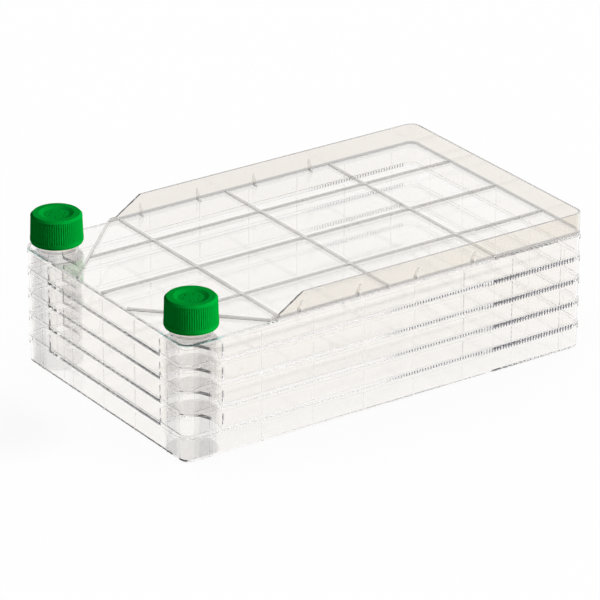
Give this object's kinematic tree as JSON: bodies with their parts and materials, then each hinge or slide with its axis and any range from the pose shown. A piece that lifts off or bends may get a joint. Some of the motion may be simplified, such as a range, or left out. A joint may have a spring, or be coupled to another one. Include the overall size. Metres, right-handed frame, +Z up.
{
  "type": "multilayer cell culture stack",
  "caption": "Clear stacked-tray vessel for growing cells in layers, with a ribbed lid, corner filling ports and vented green screw caps.",
  "frame": {"origin": "centre of the flat underside of the bottom tray", "axes": "+X along the length, away from the two ports; +Z up; the near port is on the -Y side"},
  "size_m": [0.3393, 0.2084, 0.1146],
  "materials": {
    "clear_polystyrene": "clear, polished mould",
    "green_cap_plastic": "satin",
    "seal_rubber": "matt",
    "vent_membrane": "matt"
  },
  "bodies": {
    "stack": {"tray_1": "clear_polystyrene", "tray_2": "clear_polystyrene", "tray_3": "clear_polystyrene", "tray_4": "clear_polystyrene", "tray_5": "clear_polystyrene", "lid": "clear_polystyrene"},
    "seal_near": {"seal_ring_near": "seal_rubber"},
    "cap_near": {"cap_near": "green_cap_plastic", "vent_membrane_near": "vent_membrane"},
    "seal_far": {"seal_ring_far": "seal_rubber"},
    "cap_far": {"cap_far": "green_cap_plastic", "vent_membrane_far": "vent_membrane"}
  },
  "joints": [
    {"name": "cap_near_lift", "type": "slide", "parent": "stack", "child": "seal_near", "axis": [0, 0, 1], "range_m": [0, 0.0181]},
    {"name": "cap_near_turn", "type": "hinge", "parent": "seal_near", "child": "cap_near", "pos_m": [-0.1515, -0.0854, 0.0933], "axis": [0, 0, 1], "range_deg": [0, 1530]},
    {"name": "cap_far_lift", "type": "slide", "parent": "stack", "child": "seal_far", "axis": [0, 0, 1], "range_m": [0, 0.0181]},
    {"name": "cap_far_turn", "type": "hinge", "parent": "seal_far", "child": "cap_far", "pos_m": [-0.1515, 0.0854, 0.0933], "axis": [0, 0, 1], "range_deg": [0, 1530]}
  ],
  "couplings": [
    {"joint": "cap_near_lift", "follows": "cap_near_turn", "m_per_rad": 0.00067641},
    {"joint": "cap_far_lift", "follows": "cap_far_turn", "m_per_rad": 0.00067641}
  ]
}
